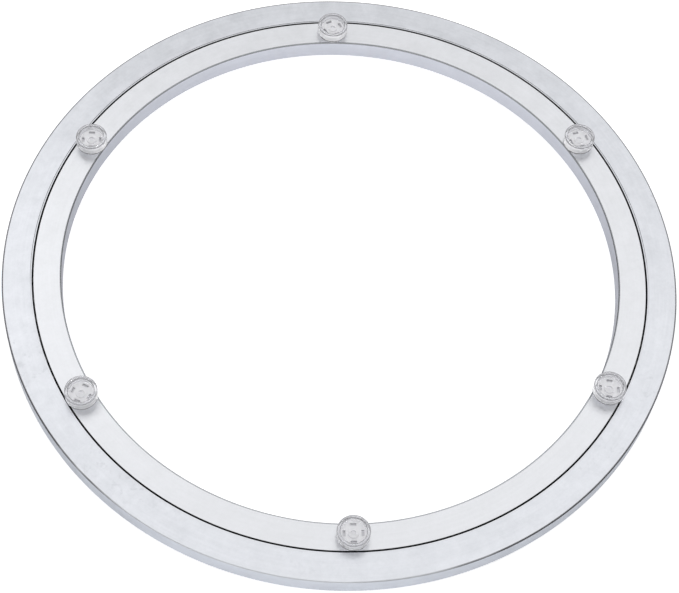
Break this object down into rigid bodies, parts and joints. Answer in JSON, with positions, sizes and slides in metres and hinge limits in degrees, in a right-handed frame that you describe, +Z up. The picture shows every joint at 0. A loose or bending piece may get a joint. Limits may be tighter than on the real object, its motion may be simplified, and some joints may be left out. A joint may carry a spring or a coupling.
{
  "type": "lazy susan turntable",
  "caption": "Flat aluminium ring turntable: an inner ring with clear anti-slip pads turns on a hidden ball race inside an outer base ring with rubber feet.",
  "frame": {"origin": "on the turning axis, in the plane that the feet stand on", "axes": "+Z up along the turning axis; +Y towards the plug in the outer ring's rim"},
  "size_m": [0.3, 0.3, 0.0174],
  "materials": {
    "ring_aluminium": "satin anodised, faintly streaked along the ring",
    "race_steel": "polished",
    "spacer_nylon": "black nylon, greased",
    "pad_clear": "clear moulded plastic, a little milky",
    "foot_rubber": "matte black rubber"
  },
  "bodies": {
    "base": {"outer_ring": "ring_aluminium", "filler_plug": "ring_aluminium", "plug_pin": "race_steel", "foot_1": "foot_rubber", "foot_2": "foot_rubber", "foot_3": "foot_rubber", "foot_4": "foot_rubber", "foot_5": "foot_rubber", "foot_6": "foot_rubber", "foot_7": "foot_rubber", "foot_8": "foot_rubber"},
    "rotor": {"inner_ring": "ring_aluminium", "pad_1": "pad_clear", "pad_2": "pad_clear", "pad_3": "pad_clear", "pad_4": "pad_clear", "pad_5": "pad_clear", "pad_6": "pad_clear"},
    "ball_train": {"steel_balls": "race_steel", "spacer_balls": "spacer_nylon"}
  },
  "joints": [
    {"name": "rotor_spin", "type": "hinge", "parent": "base", "child": "rotor", "pos_m": [0, 0, 0.00595], "axis": [0, 0, 1], "continuous": true},
    {"name": "ball_orbit", "type": "hinge", "parent": "base", "child": "ball_train", "pos_m": [0, 0, 0.00595], "axis": [0, 0, 1], "continuous": true}
  ],
  "couplings": [
    {"joint": "ball_orbit", "follows": "rotor_spin", "ratio": 0.49084}
  ]
}
